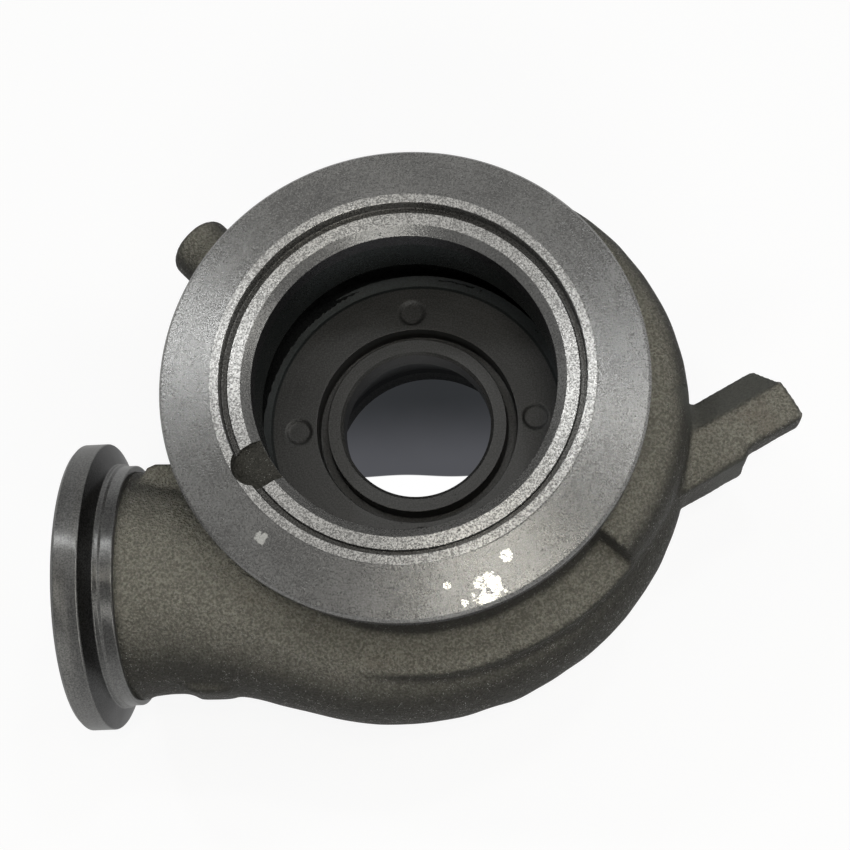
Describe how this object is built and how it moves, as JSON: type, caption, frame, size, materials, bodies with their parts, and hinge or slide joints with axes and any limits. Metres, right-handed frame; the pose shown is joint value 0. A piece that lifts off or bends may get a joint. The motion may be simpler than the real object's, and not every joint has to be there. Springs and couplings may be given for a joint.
{
  "type": "turbocharger turbine housing",
  "caption": "One-piece cast iron turbine housing with a spiral gas passage, a clamp-flanged side inlet, a turned bearing flange and bore, and an axial outlet.",
  "frame": {"origin": "centre of the outlet bore at the outlet face, on the turbine axis", "axes": "+Z along the turbine axis from the outlet to the bearing flange; the gas inlet opens towards -X"},
  "size_m": [0.1774, 0.1384, 0.083],
  "materials": {
    "cast_iron": "dark olive-grey sand-cast skin with bright lathe-turned flanges, seats and bores"
  },
  "bodies": {
    "root": {"turbine_housing": "cast_iron"}
  },
  "joints": []
}
